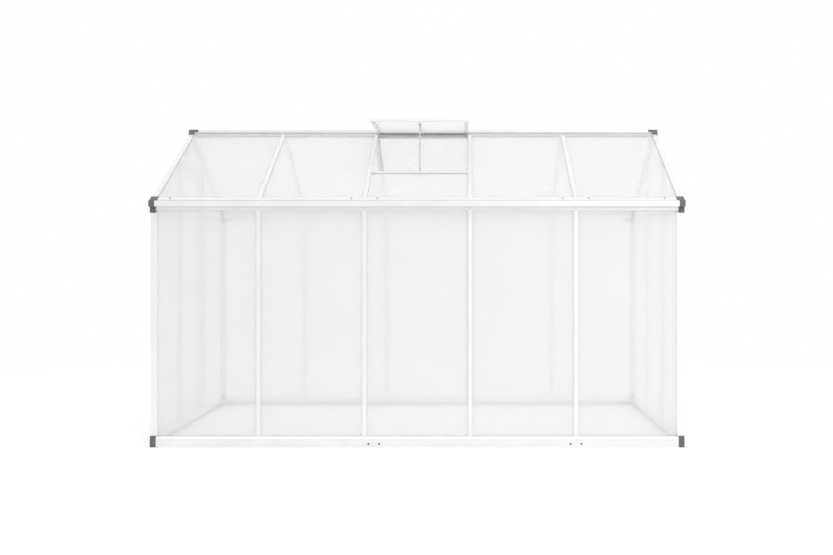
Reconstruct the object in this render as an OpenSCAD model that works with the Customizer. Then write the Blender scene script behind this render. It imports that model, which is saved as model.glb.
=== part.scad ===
// Walk-in apex greenhouse in aluminium profiles and twin-wall sheet.
// X runs along the length, the door gable is at -X, the roof vent faces -Y, and Z is up.
// The origin is on the ground, at the middle of the base frame.
// Sections of the side walls are drawn in (d, z), where d is measured inwards from the base rail's
// outer face. Gable sections use e for the same distance from the end rails' outer faces.
// Pieces of the roof are drawn in (u, v): u runs up the slope from above the base rail's outer face,
// and v is the height square to the sheets' top face.

/* [Overall] */
// Length over the corner blocks
length = 3100; // [2560:1:3800]
// Depth over the corner blocks
depth = 1844; // [1500:1:2250]
// Height of the gutters' underside
wall_h = 1396; // [1300:1:1450]
// Height of the ridge bar's crest
ridge_h = 1948; // [1930:1:2350]

/* [Profiles] */
// Wall thickness of the aluminium profiles
wall = 2; // [1.5:0.1:2.4]
// Setback of the wall profiles from the base rail's outer face
face_in = 5; // [4:0.5:7]
// Width of the glazing bars' flanges
bar_w = 24; // [20:1:30]
// Thickness of the glazing bars' web and stem
web_t = 3; // [2:0.5:4]
// Depth of the glazing bars' stem
stem_l = 16; // [12:1:19]
// Width of the foot on the glazing bars' stem
foot_w = 12; // [8:1:14]
// Width of the corner posts' outer flanges
post_w = 38; // [34:1:46]
// Depth of the corner posts' sheet slots
post_fin = 14; // [10:1:16]

/* [Sheets] */
// Thickness of the twin-wall sheets
sheet_t = 6; // [4:1:8]
// Play of a sheet on each side of its slot
sheet_play = 0.5; // [0.3:0.1:0.8]

/* [Base frame] */
// Height of the base rails' outer lip
base_h = 64; // [60:1:80]
// Height of the base rails' top plate
base_plate_h = 52; // [46:1:54]
// Depth of the base rails from front to back
base_d = 34; // [32:1:44]
// Side of the square corner blocks
block_w = 33; // [31:1:33]
// Height of the base corner blocks
block_h = 66; // [64:1:80]
// Length of the corner blocks' arms inside the rails
arm_l = 60; // [40:1:80]
// Distance of the first base joint from its glazing bar
joint_shift = 55; // [45:1:90]
// Half the distance between the bolts of a base joint
joint_bolt = 31; // [22:1:45]
// Height of the base joints' bolts
joint_bolt_z = 20; // [16:1:30]

/* [Eaves] */
// Height of the gutters' front face
gutter_h = 33; // [26:1:40]
// Reach of the gutters in front of the base rails
gutter_out = 28; // [20:1:40]
// Height of the wall sheets' slot under the gutters
head_slot = 22; // [16:1:28]
// Width of the roof edge strips up the slope
strip_w = 36; // [30:1:44]
// Distance of the strip screws from the ends of the walls
screw_end = 112; // [90:1:140]
// Distance of the strip screws from a joint
screw_joint = 76; // [50:1:110]
// Height of the eave corner blocks
eave_block_h = 36; // [34:1:44]

/* [Ridge] */
// Height of the ridge crest above the sheets' apex
crest_h = 20; // [20:1:30]
// Half width of the ridge crest
crest_half = 11; // [9:0.5:12]
// Width of the ridge bar's wings down the slope
wing_w = 45; // [40:1:60]
// Visible width of the rafters' outer flange
rafter_w = 45; // [38:1:50]

/* [Roof vent] */
// Distance of the vent sill up the slope from the eave
sill_u = 400; // [330:1:480]
// Radius of the vent's hinge bead
bead_r = 4; // [3.5:0.1:4.2]
// Thickness of the vent's frame
vent_t = 12; // [11:1:16]
// Width of the vent's rails
vent_rail_w = 20; // [16:1:26]
// Width of the vent's stay
stay_w = 10; // [8:1:12]

/* [Door] */
// Height of the door's lower edge
door_z = 70; // [68:1:90]
// Height of the door's upper edge
door_top = 1662; // [1500:1:1664]
// Overlap of the door on each side of the doorway
door_lap = 26; // [18:1:34]
// Thickness of the door's frame
door_t = 14; // [13:0.5:16]
// Gap between the door and the base rail's outer face
door_gap = 5; // [4:0.5:8]
// Width of the door's stiles
stile_w = 30; // [26:1:36]
// Height of the door's middle rail above the ground
mid_rail_z = 880; // [760:1:1000]
// Outer radius of the door's rollers
roller_r = 12; // [10:0.5:13]
// Travel of the door
door_travel = 600; // [400:10:610]

/* [Hidden] */

// Clearance between pieces that meet end to end
fit = 0.3;
// Far enough to cut right through any piece
far = 20;

half_l = length / 2;
half_d = depth / 2;

// Sheet slots in the walls, measured inwards from the base rails' outer faces
slot_w = sheet_t + 2 * sheet_play;
slot_a = face_in + wall;
slot_b = slot_a + slot_w;
slot_c = slot_b + wall;
sheet_a = slot_a + sheet_play;
stem_in = slot_c + stem_l;

// Bays: each long run is made of three pieces of two, two and one bays
run_bays = [2, 2, 1];
side_bays = run_bays[0] + run_bays[1] + run_bays[2];
gable_bays = 3;
vent_bay = 2;
edge_web = slot_c - 1;
bay = (length - 2 * edge_web) / side_bays;
gable_bay = (depth - 2 * edge_web) / gable_bays;
jamb_y = gable_bay / 2;
joint_bars = [run_bays[0], run_bays[0] + run_bays[1]];
rail_end = max(block_w, base_d) + fit;
base_joint_x = [bar_x(joint_bars[0]) + joint_shift, bar_x(joint_bars[1])];

// Gutter and wall head
gutter_lip_z = wall_h + gutter_h;
head_z = wall_h - head_slot;
roof_lift = 3;
roof_z = gutter_lip_z + roof_lift;

// Roof slope, and its sheets' slot in v
apex_z = ridge_h - crest_h;
slope = atan((apex_z - roof_z) / half_d);
slope_l = half_d / cos(slope);
cap_v = sheet_play;
cap_top_v = cap_v + wall;
seat_v = -sheet_t - sheet_play;
seat_low_v = seat_v - wall;
seat_w = 34;
strip_drip = 4;
strip_top_u = strip_w - strip_drip;
screw_u = 22;
cap_u = strip_top_u + 10;
lower_wing_w = wing_w - 5;
sheet_top_u = slope_l - 12;
rafter_low_v = cap_top_v - rafter_w;
rafter_in = 36;

// Screws and bolts
screw_r = 2.1;
screw_hole_r = 2.4;
screw_head_r = 4.4;
screw_head_h = 2.6;
bolt_r = 3;
bolt_hole_r = 3.3;
bolt_head_r = 5.5;
bolt_head_h = 3.6;
nut_r = 5.8;
nut_h = 5;
splice_t = 3;
splice_half = 60;

// Gussets of the eave corner blocks
eave_gusset_l = block_w + 68;
tie_y = half_d - block_w - fit;
stem_end_y = half_d - eave_gusset_l - 2;

// Tie bars, door header and track
tie_z = wall_h - bar_w / 2;
header_z = door_top + 28;
track_low_z = door_top + 6;
track_h = 40;
track_out = 24;
track_bolt_z = track_low_z + 24;
rib_out = 8.5;
rib_h = 6;
roller_groove = 3;
roller_w = 7;
roll_r = roller_r - roller_groove;
roller_z = track_low_z + wall + rib_h + fit + roll_r;
axle_r = 3;
axle_play = 0.07;
door_half = jamb_y - bar_w / 2 + door_lap;
door_in = -door_gap;
door_out = -door_gap - door_t;
door_slot_d = 10;
top_rail_h = 40;
mid_rail_h = 30;
bottom_rail_h = 50;
track_end_y = door_half + door_travel + 10;
hanger_y = door_half - 60;
guide_w = 24;

// Vent hinge and vent frame, about the hinge axis
hinge_in = 16;
hinge_v = 8;
hinge_z = apex_z - hinge_in * tan(slope) + hinge_v / cos(slope);
hinge_u = (half_d - hinge_in) * cos(slope) + (hinge_z - roof_z) * sin(slope);
groove_r = bead_r + fit;
barrel_r = groove_r + 1.7;
neck_t = 2.5;
vent_half = bay / 2 - bar_w / 2 + 2;
vent_l = hinge_u - sill_u;
vent_low = cap_top_v + sheet_play - hinge_v;
vent_lip = (vent_t - slot_w) / 2;
vent_slot_z = vent_low + vent_lip;
vent_slot_d = 12;
rail_start = barrel_r + 2;
centre_bar_w = 10;
centre_bar_h = 8;
// The bar under the vent's sheet ends short of the ridge bar's wings when the vent is closed
centre_bar_start = max(rail_start + vent_rail_w, hinge_u - slope_l + wing_w) + 1.5;

// Stay and its peg
stay_t = 3;
peg_r = 3;
peg_l = 8;
stay_y = -half_d + (sill_u + bar_w / 2) * cos(slope) - seat_low_v * sin(slope) + peg_l + fit + stay_t / 2;
stay_pin_r = 2;
stay_pin_play = 0.06;
stay_eye_r = 4.5;
stay_pin_drop = 15;
stay_pin_z = hinge_z - stay_pin_drop;
ear_t = 2.5;
peg_block_u = sill_u;
peg_block_v = seat_low_v - 6.5;
peg_z = roof_z + peg_block_u * sin(slope) + peg_block_v * cos(slope);
stay_tail = 18;
stay_hole_r = 3.4;
stay_hole_step = 70;
stay_holes = 4;

function bar_x(i) = -half_l + edge_web + i * bay;
function sheet_x0(i) = i == 0 ? -half_l + slot_c + sheet_play : bar_x(i) + web_t / 2 + sheet_play;
function sheet_x1(i) = -sheet_x0(side_bays - 1 - i);
function run_x0(k) = k == 0 ? -half_l + block_w + fit : bar_x(joint_bars[k - 1]) + fit / 2;
function run_x1(k) = k == 2 ? half_l - block_w - fit : bar_x(joint_bars[k]) - fit / 2;
function base_x0(k) = k == 0 ? -half_l + rail_end : base_joint_x[k - 1] + fit / 2;
function base_x1(k) = k == 2 ? half_l - rail_end : base_joint_x[k] - fit / 2;
function slope_z(d, v) = roof_z + d * tan(slope) + v / cos(slope);
screw_x = [
  -half_l + screw_end, bar_x(joint_bars[0]) - screw_joint, bar_x(joint_bars[0]) + screw_joint,
  bar_x(joint_bars[1]) - screw_joint, bar_x(joint_bars[1]) + screw_joint, half_l - screw_end
];

track_bolt_y = [-jamb_y, jamb_y, half_d - (track_bolt_z - slope_z(0, rafter_low_v / 2)) / tan(slope)];

// Placement helpers

module rect(a0, b0, a1, b1) {
  translate([a0, b0]) square([a1 - a0, b1 - b0]);
}

// Runs a (d, z) section along the front wall
module front_run(x0, x1) {
  translate([x0, -half_d, 0]) rotate([90, 0, 90]) linear_extrude(x1 - x0) children();
}

// Runs an (e, z) section along the back gable
module back_run(y0, y1) {
  translate([half_l, y0, 0]) rotate([90, 0, 180]) linear_extrude(y1 - y0) children();
}

// Runs an (x, v) section up the front slope
module up_slope(u0, u1) {
  translate([0, -half_d, roof_z]) rotate([slope, 0, 0]) translate([0, u1, 0]) rotate([90, 0, 0])
    linear_extrude(u1 - u0) children();
}

// Stands something on the front slope with its own Z square to the sheets
module on_slope(x, u, v) {
  translate([0, -half_d, roof_z]) rotate([slope, 0, 0]) translate([x, u, v]) children();
}

// Turns a (u, v) outline into the (d, z) plane
module slope_plane() {
  translate([0, roof_z]) rotate(slope) children();
}

module to_rear() {
  mirror([0, 1, 0]) children();
}

module to_door_end() {
  mirror([1, 0, 0]) children();
}

module both_sides() {
  children();
  to_rear() children();
}

module both_ends() {
  children();
  to_door_end() children();
}

// Bolt holes and the strip screws' holes

module base_bolt_holes() {
  for (x = base_joint_x)
    for (s = [-1, 1])
      translate([x + s * joint_bolt, -half_d - far, joint_bolt_z]) rotate([-90, 0, 0])
        cylinder(r = bolt_hole_r, h = 2 * far, $fn = 32);
}

module strip_screw_holes() {
  for (x = screw_x) on_slope(x, screw_u, -far) cylinder(r = screw_hole_r, h = 2 * far, $fn = 24);
}

module track_bolt_holes() {
  for (y = track_bolt_y)
    translate([-half_l, y, track_bolt_z]) rotate([0, 90, 0])
      cylinder(r = bolt_hole_r, h = slot_a + 0.5, $fn = 32);
}

// Base frame

module base_section() {
  lip_z = base_plate_h + face_in;
  rect(0, 0, wall, base_plate_h);
  polygon([
    [0, base_plate_h - wall], [slot_a, base_plate_h - wall], [slot_a, base_h],
    [face_in, base_h], [face_in, lip_z], [0, base_plate_h]
  ]);
  rect(0, base_plate_h - wall, base_d, base_plate_h);
  rect(slot_b, base_plate_h - wall, slot_c, base_h);
  rect(base_d - wall, base_plate_h - 12, base_d, base_plate_h);
  rect(0, 0, base_d, wall);
  rect(base_d - wall, 0, base_d, 12);
}

module base_side_rail(k) {
  difference() {
    front_run(base_x0(k), base_x1(k)) base_section();
    base_bolt_holes();
  }
}

module base_end_rail() {
  y1 = half_d - rail_end;
  back_run(-y1, y1) base_section();
}

// A corner block's arm runs inside the rail's channel
module block_arm() {
  translate([block_w - 1, wall + fit, wall + fit])
    cube([arm_l + 1, base_d - 2 * wall - 2 * fit, base_plate_h - 2 * wall - 2 * fit]);
}

// Gusset beside the sheets, from the block along one wall
module gusset(reach, rise, z0) {
  depth_a = slot_c + 1;
  translate([0, depth_a + 4, z0]) rotate([90, 0, 0]) linear_extrude(4)
    polygon([[depth_a, 0], [reach, 0], [depth_a, rise]]);
}

module swap_walls() {
  children();
  mirror([1, -1, 0]) children();
}

// Plan slots that let the wall sheets' edges into a corner block
module sheet_notch(z0, z1) {
  swap_walls()
    translate([slot_c - 0.2, slot_a, z0]) cube([block_w, slot_w, z1 - z0]);
}

module spigot(z0) {
  inner = slot_w - 2 * fit;
  translate([slot_a + fit, slot_a + fit, z0]) cube([inner, inner, 30]);
}

module base_corner_block() {
  difference() {
    union() {
      cube([block_w, block_w, block_h]);
      swap_walls() block_arm();
    }
    sheet_notch(base_plate_h, block_h + 1);
  }
  swap_walls() translate([0, 0, block_h]) gusset(block_w + 32, 20, 0);
  spigot(block_h - 1);
}

module at_corner(sx, sy) {
  mirror([sx > 0 ? 1 : 0, 0, 0]) mirror([0, sy > 0 ? 1 : 0, 0]) translate([-half_l, -half_d, 0]) children();
}

module all_corners() {
  for (sx = [-1, 1]) for (sy = [-1, 1]) at_corner(sx, sy) children();
}

module base_splice_plate(x) {
  difference() {
    front_run(x - splice_half, x + splice_half)
      rect(wall, wall + 4, wall + splice_t, base_plate_h - wall - 4);
    base_bolt_holes();
  }
}

// Walls

module corner_post() {
  z0 = block_h;
  z1 = wall_h - eave_block_h;
  translate([0, 0, z0]) linear_extrude(z1 - z0) {
    difference() {
      rect(face_in, face_in, slot_c, slot_c);
      rect(slot_a, slot_a, slot_b, slot_b);
    }
    rect(face_in, face_in, face_in + post_w, slot_a);
    rect(face_in, face_in, slot_a, face_in + post_w);
    rect(slot_b, slot_b, slot_c + post_fin, slot_c);
    rect(slot_b, slot_b, slot_c, slot_c + post_fin);
  }
}

// Upright glazing bar; flanges and web have their own ends because they meet different lips
module upright_bar(flange_z0, flange_z1, web_z0, web_z1, stem_z0, stem_z1) {
  translate([0, 0, flange_z0]) linear_extrude(flange_z1 - flange_z0) {
    rect(-bar_w / 2, face_in, bar_w / 2, slot_a);
    rect(-bar_w / 2, slot_b, bar_w / 2, slot_c);
  }
  translate([0, 0, web_z0]) linear_extrude(web_z1 - web_z0) rect(-web_t / 2, slot_a, web_t / 2, slot_b);
  translate([0, 0, stem_z0]) linear_extrude(stem_z1 - stem_z0) {
    rect(-web_t / 2, slot_c, web_t / 2, stem_in);
    rect(-foot_w / 2, stem_in - wall, foot_w / 2, stem_in);
  }
}

module front_wall_bar(x) {
  translate([x, -half_d, 0])
    upright_bar(base_h + fit, head_z - fit, base_plate_h, wall_h - fit, base_plate_h, wall_h - fit);
}

module on_back_gable(y) {
  translate([half_l, y, 0]) rotate([0, 0, 90]) children();
}

module on_door_gable(y) {
  translate([-half_l, y, 0]) rotate([0, 0, -90]) children();
}

// Heights at which a gable bar's flanges and web stop under the rafters
function bar_top_z(y) = slope_z(half_d - y - bar_w / 2, rafter_low_v) - fit;
function web_top_z(y) = slope_z(half_d - y - web_t / 2, seat_low_v) - fit;

module back_gable_bar_pair(y) {
  on_back_gable(y) {
    upright_bar(base_h + fit, tie_z - bar_w / 2 - fit, base_plate_h, tie_z - web_t / 2 - fit,
                base_plate_h, tie_z - bar_w / 2 - fit);
    top = bar_top_z(jamb_y);
    upright_bar(tie_z + bar_w / 2 + fit, top, tie_z + web_t / 2 + fit, web_top_z(jamb_y),
                tie_z + bar_w / 2 + fit, top);
  }
}

module door_jamb(y) {
  top = bar_top_z(jamb_y);
  on_door_gable(y)
    upright_bar(base_h + fit, top, base_plate_h, web_top_z(jamb_y), base_plate_h, top);
}

// Level bar across a gable; its stem stops short of the corner gussets
module level_bar(z, y0, y1, stem_y1) {
  back_run(y0, y1) {
    rect(face_in, z - bar_w / 2, slot_a, z + bar_w / 2);
    rect(slot_a, z - web_t / 2, slot_c, z + web_t / 2);
    rect(slot_b, z - bar_w / 2, slot_c, z + bar_w / 2);
  }
  back_run(max(y0, -stem_y1), min(y1, stem_y1)) {
    rect(slot_b, z - web_t / 2, stem_in, z + web_t / 2);
    rect(stem_in - wall, z - foot_w / 2, stem_in, z + foot_w / 2);
  }
}

// Eaves

module gutter_section() {
  rect(-gutter_out, wall_h, slot_c, wall_h + wall);
  rect(-gutter_out, wall_h, -gutter_out + wall, gutter_lip_z);
  seat_mid_v = (seat_v + seat_low_v) / 2;
  polygon([
    [face_in, head_z], [slot_a, head_z],
    [slot_a, slope_z(slot_a, seat_mid_v)], [face_in, slope_z(face_in, seat_mid_v)]
  ]);
  polygon([
    [slot_b, head_z], [slot_c, head_z],
    [slot_c, slope_z(slot_c, seat_mid_v)], [slot_b, slope_z(slot_b, seat_mid_v)]
  ]);
  slope_plane() rect(0, seat_low_v, seat_w, seat_v);
}

module front_gutter(k) {
  difference() {
    front_run(run_x0(k), run_x1(k)) gutter_section();
    strip_screw_holes();
  }
}

// Joining tongue inside the hollow above the wall slot
module gutter_splice(x) {
  front_run(x - splice_half, x + splice_half)
    rect(slot_a + fit, wall_h + wall + fit, slot_b - fit, gutter_lip_z - 8);
}

module front_edge_strip(k) {
  difference() {
    front_run(run_x0(k), run_x1(k)) slope_plane() {
      rect(-strip_drip, cap_v, strip_top_u, cap_top_v);
      rect(-strip_drip, seat_low_v, -strip_drip + wall, cap_top_v);
    }
    strip_screw_holes();
  }
}

module strip_screw(x) {
  on_slope(x, screw_u, 0) {
    translate([0, 0, cap_top_v - 18]) cylinder(r = screw_r, h = 18.5, $fn = 24);
    translate([0, 0, cap_top_v]) cylinder(r = screw_head_r, h = screw_head_h, $fn = 32);
  }
}

module eave_corner_block() {
  z0 = wall_h - eave_block_h;
  z1 = wall_h - 2;
  difference() {
    translate([0, 0, z0]) cube([block_w, block_w, z1 - z0]);
    sheet_notch(z0 - 1, z1 - 0.5);
  }
  swap_walls() translate([0, 0, z1]) mirror([0, 0, 1]) gusset(eave_gusset_l, 29, 0);
  translate([0, 0, z0]) mirror([0, 0, 1]) spigot(-1);
}

// Closed cap over the gutter's end and the foot of the rafter
module gutter_end_cap() {
  z0 = wall_h - 2;
  front = -gutter_out - 2;
  skin = face_in - fit;
  rotate([90, 0, 90]) {
    linear_extrude(block_w) intersection() {
      union() {
        rect(front, z0, block_w, gutter_lip_z + 2);
        slope_plane() rect(-strip_drip - 2, -far, cap_u, cap_top_v + 3);
      }
      rect(front, z0, block_w, roof_z + 40);
    }
    linear_extrude(skin) intersection() {
      slope_plane() rect(0, rafter_low_v, cap_u, cap_top_v + 3);
      rect(0, z0, block_w + 40, roof_z + 40);
    }
    linear_extrude(block_w + 10) slope_plane()
      rect(-strip_drip - 2, cap_top_v + fit, cap_u, cap_top_v + 3);
  }
}

// Ridge

module ridge_half() {
  translate([-half_d, 0]) slope_plane() {
    rect(slope_l - wing_w, cap_v, slope_l + 1, cap_top_v);
    rect(slope_l - lower_wing_w, seat_low_v, slope_l - 4, seat_v);
  }
  rect(-3, apex_z - 10, 0, apex_z + 1);
  rect(-web_t / 2, apex_z - 34, 0, apex_z - 9);
  rect(-7, apex_z - 36, 0, apex_z - 34);
  rect(-crest_half, apex_z - 4, -crest_half + wall, ridge_h);
  rect(-crest_half, ridge_h - wall, 0, ridge_h);
  translate([-hinge_in, hinge_z]) difference() {
    circle(r = barrel_r, $fn = 48);
    circle(r = groove_r, $fn = 48);
    polygon([[0, 0], [-far, far * tan(30)], [-far, -far * tan(58)]]);
  }
}

module ridge_bar(k) {
  x0 = k == 0 ? -half_l + rafter_in + fit : run_x0(k);
  x1 = k == 2 ? half_l - rafter_in - fit : run_x1(k);
  translate([x0, 0, 0]) rotate([90, 0, 90]) linear_extrude(x1 - x0) {
    ridge_half();
    mirror([1, 0]) ridge_half();
  }
}

module ridge_end_cap() {
  hood = crest_half + fit + wall;
  over_v = cap_top_v + fit;
  translate([half_l, 0, 0]) mirror([1, 0, 0]) rotate([90, 0, 90]) {
    linear_extrude(rafter_in) polygon([
      [0, slope_z(half_d, over_v)], [-26, slope_z(half_d - 26, over_v)],
      [-26, slope_z(half_d - 26, over_v) + 4],
      [-hood, ridge_h + wall], [hood, ridge_h + wall],
      [26, slope_z(half_d - 26, over_v) + 4], [26, slope_z(half_d - 26, over_v)]
    ]);
    linear_extrude(face_in - fit) polygon([
      [0, apex_z - 34], [-26, slope_z(half_d - 26, -30)], [-26, slope_z(half_d - 26, over_v) + 4],
      [-hood, ridge_h + wall], [hood, ridge_h + wall],
      [26, slope_z(half_d - 26, over_v) + 4], [26, slope_z(half_d - 26, -30)]
    ]);
    linear_extrude(60) difference() {
      rect(-hood, hinge_z + barrel_r + 1, hood, ridge_h + wall);
      rect(-crest_half - fit, hinge_z, crest_half + fit, ridge_h + fit);
    }
  }
}

module back_rafter() {
  x0 = half_l - rafter_in;
  difference() {
    up_slope(cap_u + fit, slope_l + rafter_w) {
      rect(x0, cap_v, half_l - face_in, cap_top_v);
      rect(x0, seat_low_v, half_l - face_in, seat_v);
      rect(half_l - slot_a, rafter_low_v, half_l - face_in, cap_top_v);
      rect(half_l - slot_c, rafter_low_v, half_l - slot_b, seat_low_v);
    }
    translate([x0 - 1, -fit, 0]) cube([rafter_in, rafter_w * 2, ridge_h * 2]);
  }
}

module front_roof_bar(x) {
  up_slope(strip_top_u + fit, slope_l - wing_w - fit) rect(x - bar_w / 2, cap_v, x + bar_w / 2, cap_top_v);
  up_slope(1, slope_l - 14) rect(x - web_t / 2, seat_v, x + web_t / 2, cap_v);
  up_slope(seat_w + fit, slope_l - lower_wing_w - fit)
    rect(x - bar_w / 2, seat_low_v, x + bar_w / 2, seat_v);
  up_slope(20, slope_l - 18) {
    rect(x - web_t / 2, seat_low_v - stem_l, x + web_t / 2, seat_low_v);
    rect(x - foot_w / 2, seat_low_v - stem_l, x + foot_w / 2, seat_low_v - stem_l + wall);
  }
}

// Sheets

module front_wall_sheet(i) {
  translate([sheet_x0(i), -half_d + sheet_a, base_plate_h])
    cube([sheet_x1(i) - sheet_x0(i), sheet_t, wall_h - 3 - base_plate_h]);
}

// The outer bays' sheets reach into the rafters' slots and are notched around the eave caps
module front_roof_sheet(i, top_u) {
  reach = slot_c - slot_a - 1;
  x0 = sheet_x0(i) - (i == 0 ? reach : 0);
  x1 = sheet_x1(i) + (i == side_bays - 1 ? reach : 0);
  difference() {
    up_slope(0.5, top_u) rect(x0, -sheet_t, x1, 0);
    strip_screw_holes();
    if (i == 0) on_slope(-half_l - 1, -1, -far) cube([block_w + 1 + fit, cap_u + 2, 2 * far]);
    if (i == side_bays - 1)
      on_slope(half_l - block_w - fit, -1, -far) cube([block_w + 1, cap_u + 2, 2 * far]);
  }
}

function top_edge_z(y) = slope_z(half_d - abs(y), seat_low_v - 1.5);

module on_back_sheet() {
  translate([half_l - sheet_a - sheet_t, 0, 0]) rotate([90, 0, 90]) linear_extrude(sheet_t) children();
}

sheet_y = jamb_y - web_t / 2 - sheet_play;
outer_y0 = jamb_y + web_t / 2 + sheet_play;
outer_y1 = half_d - slot_c - sheet_play;
low_top_z = tie_z - web_t / 2 - 1;
up_low_z = tie_z + web_t / 2;

module outer_gable_sheets() {
  rect(outer_y0, base_plate_h, outer_y1, low_top_z);
  polygon([
    [outer_y0, up_low_z], [half_d - block_w - 1, up_low_z],
    [half_d - block_w - 1, top_edge_z(half_d - block_w - 1)], [outer_y0, top_edge_z(outer_y0)]
  ]);
}

module apex_sheet(z0) {
  polygon([
    [-sheet_y, z0], [sheet_y, z0], [sheet_y, top_edge_z(sheet_y)],
    [0, top_edge_z(0)], [-sheet_y, top_edge_z(sheet_y)]
  ]);
}

// Roof vent

module at_hinge() {
  translate([0, -hinge_in, hinge_z]) children();
}

module vent_sill_bar() {
  x1 = bay / 2 - bar_w / 2 - fit;
  front_run(-x1, x1) slope_plane() {
    rect(sill_u - bar_w / 2, cap_v, sill_u + bar_w / 2, cap_top_v);
    rect(sill_u - web_t / 2, seat_v, sill_u + web_t / 2, cap_v);
    rect(sill_u - bar_w / 2, seat_low_v, sill_u + bar_w / 2, seat_v);
  }
}

module stay_peg_piece() {
  on_slope(-8, peg_block_u - 9, seat_low_v - 13) cube([16, 18, 13]);
  y0 = -half_d + peg_block_u * cos(slope) - peg_block_v * sin(slope);
  translate([0, y0, peg_z]) rotate([-90, 0, 0])
    cylinder(r = peg_r, h = stay_y - stay_t / 2 - fit - y0, $fn = 32);
}

module vent_rail_x(y0, y1, slot_y0, slot_y1) {
  x1 = vent_half - vent_rail_w - fit;
  difference() {
    translate([-x1, y0, vent_low]) cube([2 * x1, y1 - y0, vent_t]);
    translate([-x1 - 1, slot_y0, vent_slot_z]) cube([2 * x1 + 2, slot_y1 - slot_y0, slot_w]);
  }
}

module vent_side_rail() {
  difference() {
    translate([vent_half - vent_rail_w, -vent_l, vent_low]) cube([vent_rail_w, vent_l - rail_start, vent_t]);
    translate([vent_half - vent_rail_w - 1, -vent_l + vent_rail_w - vent_slot_d, vent_slot_z])
      cube([vent_slot_d + 1, vent_l - rail_start - 2 * (vent_rail_w - vent_slot_d), slot_w]);
  }
}

module vent_hinge_rail() {
  x1 = vent_half - vent_rail_w - fit;
  y1 = -rail_start;
  vent_rail_x(y1 - vent_rail_w, y1, y1 - vent_rail_w - 1, y1 - vent_rail_w + vent_slot_d);
  translate([-x1, y1 - 1, -neck_t / 2]) cube([2 * x1, rail_start - bead_r + 2, neck_t]);
  translate([-x1, 0, 0]) rotate([0, 90, 0]) cylinder(r = bead_r, h = 2 * x1, $fn = 48);
}

module vent_outer_rail() {
  y0 = -vent_l;
  vent_rail_x(y0, y0 + vent_rail_w, y0 + vent_rail_w - vent_slot_d, y0 + vent_rail_w + 1);
}

module vent_frame_rails() {
  at_hinge() {
    vent_hinge_rail();
    vent_outer_rail();
    vent_side_rail();
    mirror([1, 0, 0]) vent_side_rail();
  }
}

module vent_sheet() {
  x1 = vent_half - vent_rail_w + vent_slot_d - 1;
  y0 = -vent_l + vent_rail_w - vent_slot_d + 1;
  y1 = -rail_start - vent_rail_w + vent_slot_d - 1;
  at_hinge() translate([-x1, y0, vent_slot_z + sheet_play]) cube([2 * x1, y1 - y0, sheet_t]);
}

// Bar under the vent's sheet, with the ears and the pin that carry the stay
module vent_bar_with_ears() {
  y0 = -hinge_in - vent_l + vent_rail_w + fit;
  y1 = -hinge_in - centre_bar_start;
  top = hinge_z + vent_slot_z + sheet_play - fit;
  difference() {
    translate([-centre_bar_w / 2, y0, top - centre_bar_h]) cube([centre_bar_w, y1 - y0, centre_bar_h]);
    translate([-centre_bar_w, stay_y - stay_eye_r - 1, top - centre_bar_h - 1])
      cube([2 * centre_bar_w, 2 * stay_eye_r + 2, 2.5]);
  }
  translate([-stay_w / 2 - fit - ear_t, stay_y - stay_eye_r, top - 3])
    cube([stay_w + 2 * fit + 2 * ear_t, 2 * stay_eye_r, 3]);
  for (s = [-1, 1])
    translate([s * (stay_w / 2 + fit + ear_t / 2), stay_y, 0]) {
      translate([-ear_t / 2, -stay_eye_r, stay_pin_z]) cube([ear_t, 2 * stay_eye_r, top - stay_pin_z]);
      translate([-ear_t / 2, 0, stay_pin_z]) rotate([0, 90, 0]) cylinder(r = stay_eye_r, h = ear_t, $fn = 32);
    }
  pin_half = stay_w / 2 + fit + ear_t / 2;
  translate([-pin_half, stay_y, stay_pin_z]) rotate([0, 90, 0])
    cylinder(r = stay_pin_r, h = 2 * pin_half, $fn = 32);
}

module stay_bar() {
  z0 = peg_z - stay_tail;
  difference() {
    union() {
      translate([-stay_w / 2, stay_y - stay_t / 2, z0]) cube([stay_w, stay_t, stay_pin_z - z0]);
      translate([-stay_w / 2, stay_y, stay_pin_z]) rotate([0, 90, 0])
        cylinder(r = stay_eye_r, h = stay_w, $fn = 32);
    }
    translate([-stay_w, stay_y, stay_pin_z]) rotate([0, 90, 0])
      cylinder(r = stay_pin_r + stay_pin_play, h = 2 * stay_w, $fn = 32);
    for (n = [0 : stay_holes - 1])
      translate([0, stay_y - far / 2, peg_z + n * stay_hole_step]) rotate([-90, 0, 0])
        cylinder(r = stay_hole_r, h = far, $fn = 32);
  }
}

// Door, drawn in x from the door gable's outer face, with positive inwards

module at_door() {
  translate([-half_l, 0, 0]) children();
}

module door_slot(y0, z0, y1, z1) {
  mid = (door_in + door_out) / 2;
  translate([mid - slot_w / 2, y0, z0]) cube([slot_w, y1 - y0, z1 - z0]);
}

module door_stile(s) {
  y0 = s > 0 ? door_half - stile_w : -door_half;
  slot_y = s > 0 ? y0 - 1 : y0 + stile_w - door_slot_d;
  difference() {
    translate([door_out, y0, door_z]) cube([door_t, stile_w, door_top - door_z]);
    door_slot(slot_y, door_z + bottom_rail_h - door_slot_d, slot_y + door_slot_d + 1,
              door_top - top_rail_h + door_slot_d);
  }
}

module door_rail(z0, h, slot_low, slot_high) {
  y1 = door_half - stile_w - fit;
  difference() {
    translate([door_out, -y1, z0]) cube([door_t, 2 * y1, h]);
    if (slot_low) door_slot(-y1 - 1, z0 - 1, y1 + 1, z0 + door_slot_d);
    if (slot_high) door_slot(-y1 - 1, z0 + h - door_slot_d, y1 + 1, z0 + h + 1);
  }
}

module door_sheet(z0, z1) {
  y1 = door_half - stile_w + door_slot_d - 1;
  mid = (door_in + door_out) / 2;
  translate([mid - sheet_t / 2, -y1, z0]) cube([sheet_t, 2 * y1, z1 - z0]);
}

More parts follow.
